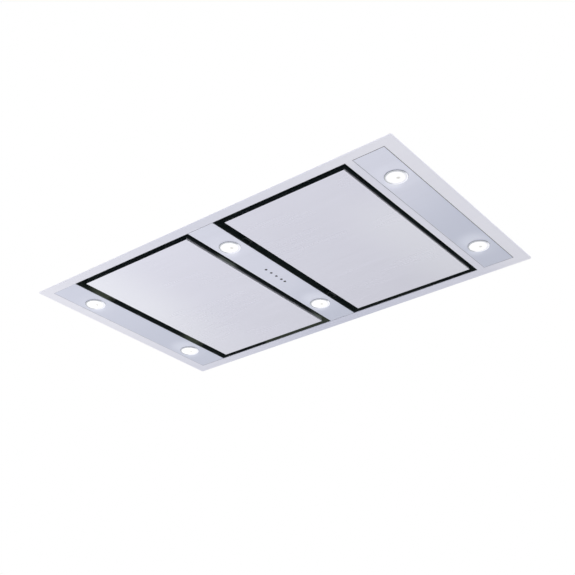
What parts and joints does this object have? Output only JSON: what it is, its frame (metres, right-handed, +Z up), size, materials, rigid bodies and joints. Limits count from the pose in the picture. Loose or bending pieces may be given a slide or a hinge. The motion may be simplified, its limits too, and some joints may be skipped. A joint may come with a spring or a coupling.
{
  "type": "ceiling cassette range hood",
  "caption": "Flush ceiling range hood with two drop-down perimeter suction panels, lamp strips, push buttons, grease filters and a built-in blower with a round outlet.",
  "frame": {"origin": "middle of the ceiling plane, on the upper face of the frame's returned edge", "axes": "+X along the hood's long side towards the crossbar, +Y across it, +Z up into the ceiling"},
  "size_m": [1.2, 0.7, 0.3524],
  "materials": {
    "frame_steel": "fine brushed stainless steel",
    "strip_steel": "fine brushed stainless steel",
    "panel_steel": "fine brushed stainless steel",
    "bezel_chrome": "satin turned ring",
    "liner_black": "black powder coat",
    "hinge_black": "black painted steel",
    "zinc_sheet": "galvanised sheet steel",
    "bare_aluminium": "mill aluminium",
    "bright_steel": "bright turned steel",
    "black_plastic": "moulded black plastic",
    "white_plastic": "moulded white plastic",
    "lit_lens": "opal diffuser, lit",
    "green_board": "solder-masked circuit board"
  },
  "bodies": {
    "hood": {"ceiling_frame": "frame_steel", "left_light_strip": "strip_steel", "centre_strip": "strip_steel", "right_light_strip": "strip_steel", "left_recess_liner": "liner_black", "right_recess_liner": "liner_black", "housing_shell": "zinc_sheet", "top_cover": "zinc_sheet", "hanger_brackets": "zinc_sheet", "hinge_brackets": "hinge_black", "hinge_pins": "hinge_black", "catch_magnets": "black_plastic", "left_filter_frame": "bare_aluminium", "right_filter_frame": "bare_aluminium", "left_filter_mesh": "bare_aluminium", "right_filter_mesh": "bare_aluminium", "left_scroll_half": "zinc_sheet", "right_scroll_half": "zinc_sheet", "fan_motor": "zinc_sheet", "motor_bracket": "hinge_black", "run_capacitor": "white_plastic", "outlet_collar": "zinc_sheet", "damper_pin": "bright_steel", "control_box": "black_plastic", "control_box_lid": "black_plastic", "control_board": "green_board", "lamp_driver": "white_plastic", "cable_gland": "black_plastic", "cover_screws": "bright_steel", "lamp_bodies": "bare_aluminium", "button_board": "green_board", "infrared_eye": "black_plastic", "lamp_bezel_1": "bezel_chrome", "lamp_bezel_2": "bezel_chrome", "lamp_bezel_3": "bezel_chrome", "lamp_bezel_4": "bezel_chrome", "lamp_bezel_5": "bezel_chrome", "lamp_bezel_6": "bezel_chrome", "lamp_lens_1": "lit_lens", "lamp_lens_2": "lit_lens", "lamp_lens_3": "lit_lens", "lamp_lens_4": "lit_lens", "lamp_lens_5": "lit_lens", "lamp_lens_6": "lit_lens"},
    "left_panel": {"left_suction_panel": "panel_steel", "left_panel_tray": "zinc_sheet", "left_hinge_arms": "hinge_black"},
    "right_panel": {"right_suction_panel": "panel_steel", "right_panel_tray": "zinc_sheet", "right_hinge_arms": "hinge_black"},
    "left_latch": {"left_filter_latch": "black_plastic"},
    "right_latch": {"right_filter_latch": "black_plastic"},
    "fan": {"fan_wheel": "bare_aluminium", "motor_shaft": "bright_steel"},
    "near_flap": {"near_damper_flap": "bare_aluminium"},
    "far_flap": {"far_damper_flap": "bare_aluminium"},
    "button_1": {"button_1": "black_plastic"},
    "button_2": {"button_2": "black_plastic"},
    "button_3": {"button_3": "black_plastic"},
    "button_4": {"button_4": "black_plastic"}
  },
  "joints": [
    {"name": "left_panel_hinge", "type": "hinge", "parent": "hood", "child": "left_panel", "pos_m": [-0.4625, 0, 0.007], "axis": [0, 1, 0], "range_deg": [0, 90]},
    {"name": "right_panel_hinge", "type": "hinge", "parent": "hood", "child": "right_panel", "pos_m": [0.054, 0, 0.007], "axis": [0, 1, 0], "range_deg": [0, 90]},
    {"name": "left_latch_slide", "type": "slide", "parent": "hood", "child": "left_latch", "axis": [0, 1, 0], "range_m": [0, 0.0055], "stiffness_N_per_m": 300, "springref_m": -0.003},
    {"name": "right_latch_slide", "type": "slide", "parent": "hood", "child": "right_latch", "axis": [0, 1, 0], "range_m": [0, 0.0055], "stiffness_N_per_m": 300, "springref_m": -0.003},
    {"name": "fan_spin", "type": "hinge", "parent": "hood", "child": "fan", "pos_m": [0, -0.058, 0.17873], "axis": [1, 0, 0], "continuous": true},
    {"name": "near_flap_hinge", "type": "hinge", "parent": "hood", "child": "near_flap", "pos_m": [0, 0, 0.317], "axis": [-1, 0, 0], "range_deg": [0, 80]},
    {"name": "far_flap_hinge", "type": "hinge", "parent": "hood", "child": "far_flap", "pos_m": [0, 0, 0.317], "axis": [1, 0, 0], "range_deg": [0, 80]},
    {"name": "button_1_press", "type": "slide", "parent": "hood", "child": "button_1", "axis": [0, 0, 1], "range_m": [0, 0.0008], "stiffness_N_per_m": 500, "springref_m": -0.0005},
    {"name": "button_2_press", "type": "slide", "parent": "hood", "child": "button_2", "axis": [0, 0, 1], "range_m": [0, 0.0008], "stiffness_N_per_m": 500, "springref_m": -0.0005},
    {"name": "button_3_press", "type": "slide", "parent": "hood", "child": "button_3", "axis": [0, 0, 1], "range_m": [0, 0.0008], "stiffness_N_per_m": 500, "springref_m": -0.0005},
    {"name": "button_4_press", "type": "slide", "parent": "hood", "child": "button_4", "axis": [0, 0, 1], "range_m": [0, 0.0008], "stiffness_N_per_m": 500, "springref_m": -0.0005}
  ]
}
